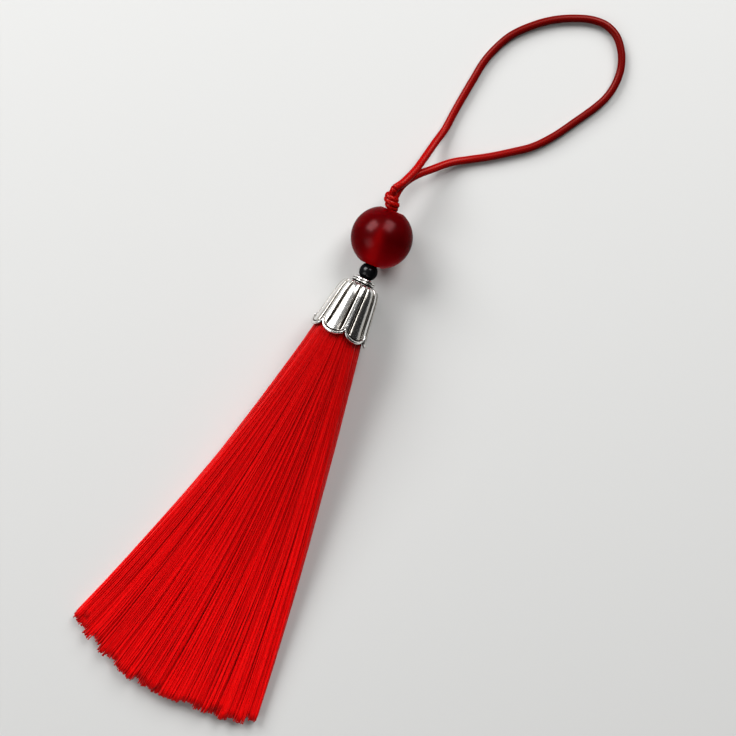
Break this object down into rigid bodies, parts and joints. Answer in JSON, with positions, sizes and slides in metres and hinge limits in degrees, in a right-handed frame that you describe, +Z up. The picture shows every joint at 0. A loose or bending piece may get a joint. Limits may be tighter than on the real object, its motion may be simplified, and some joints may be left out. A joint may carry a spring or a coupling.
{
  "type": "silk tassel charm",
  "caption": "Silk tassel charm: a fan of fine threads in a fluted petal-edged metal cap, a small spacer bead, a round stone bead, a knot and a long cord hanging loop.",
  "frame": {"origin": "middle of the flat spot on which the red bead rests on the surface", "axes": "+Z up from the surface, +Y along the tassel from its thread ends towards the hanging loop, +X to the side"},
  "size_m": [0.0385, 0.1323, 0.0099],
  "materials": {
    "red_silk": "lustrous silk thread",
    "antique_silver": "polished with darkened grooves",
    "black_glass": "gloss",
    "red_stone": "polished, translucent",
    "red_cord": "satin"
  },
  "bodies": {
    "root": {"skirt": "red_silk", "cap": "antique_silver", "black_bead": "black_glass", "red_bead": "red_stone", "knot": "red_cord", "loop_cord": "red_cord"}
  },
  "joints": []
}
